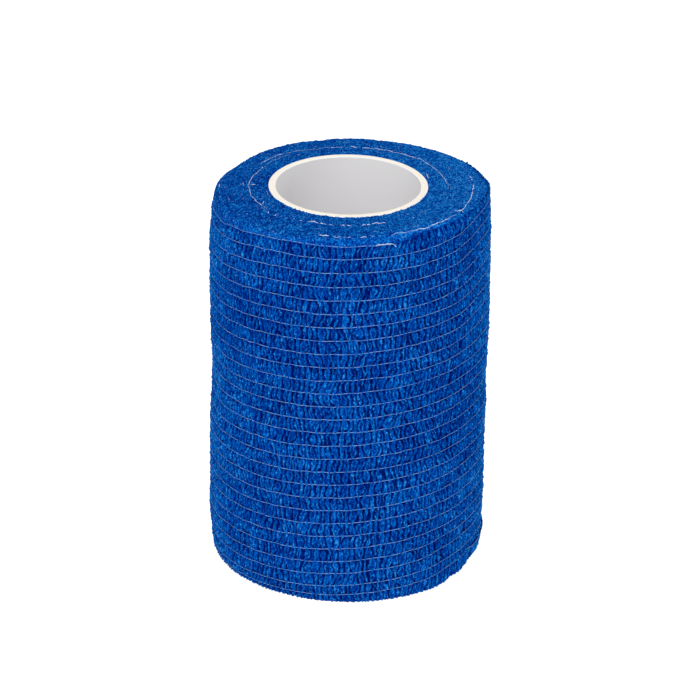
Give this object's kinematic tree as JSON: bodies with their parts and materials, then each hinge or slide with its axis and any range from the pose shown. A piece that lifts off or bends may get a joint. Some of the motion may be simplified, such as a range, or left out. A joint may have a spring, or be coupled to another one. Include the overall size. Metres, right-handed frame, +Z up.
{
  "type": "cohesive bandage roll",
  "caption": "Elastic cohesive bandage wound in a firm roll on a hollow paperboard core, its crinkled cloth ribbed between elastic threads, standing on its end.",
  "frame": {"origin": "middle of the base that the roll stands on", "axes": "+Z up along the roll's axis, -Y towards the side that the picture shows, +X to that side's right"},
  "size_m": [0.0541, 0.0542, 0.0759],
  "materials": {
    "cloth": "matte",
    "core_board": "matte",
    "elastic_thread": "matte"
  },
  "bodies": {
    "root": {"bandage": "cloth", "core": "core_board"}
  },
  "joints": []
}
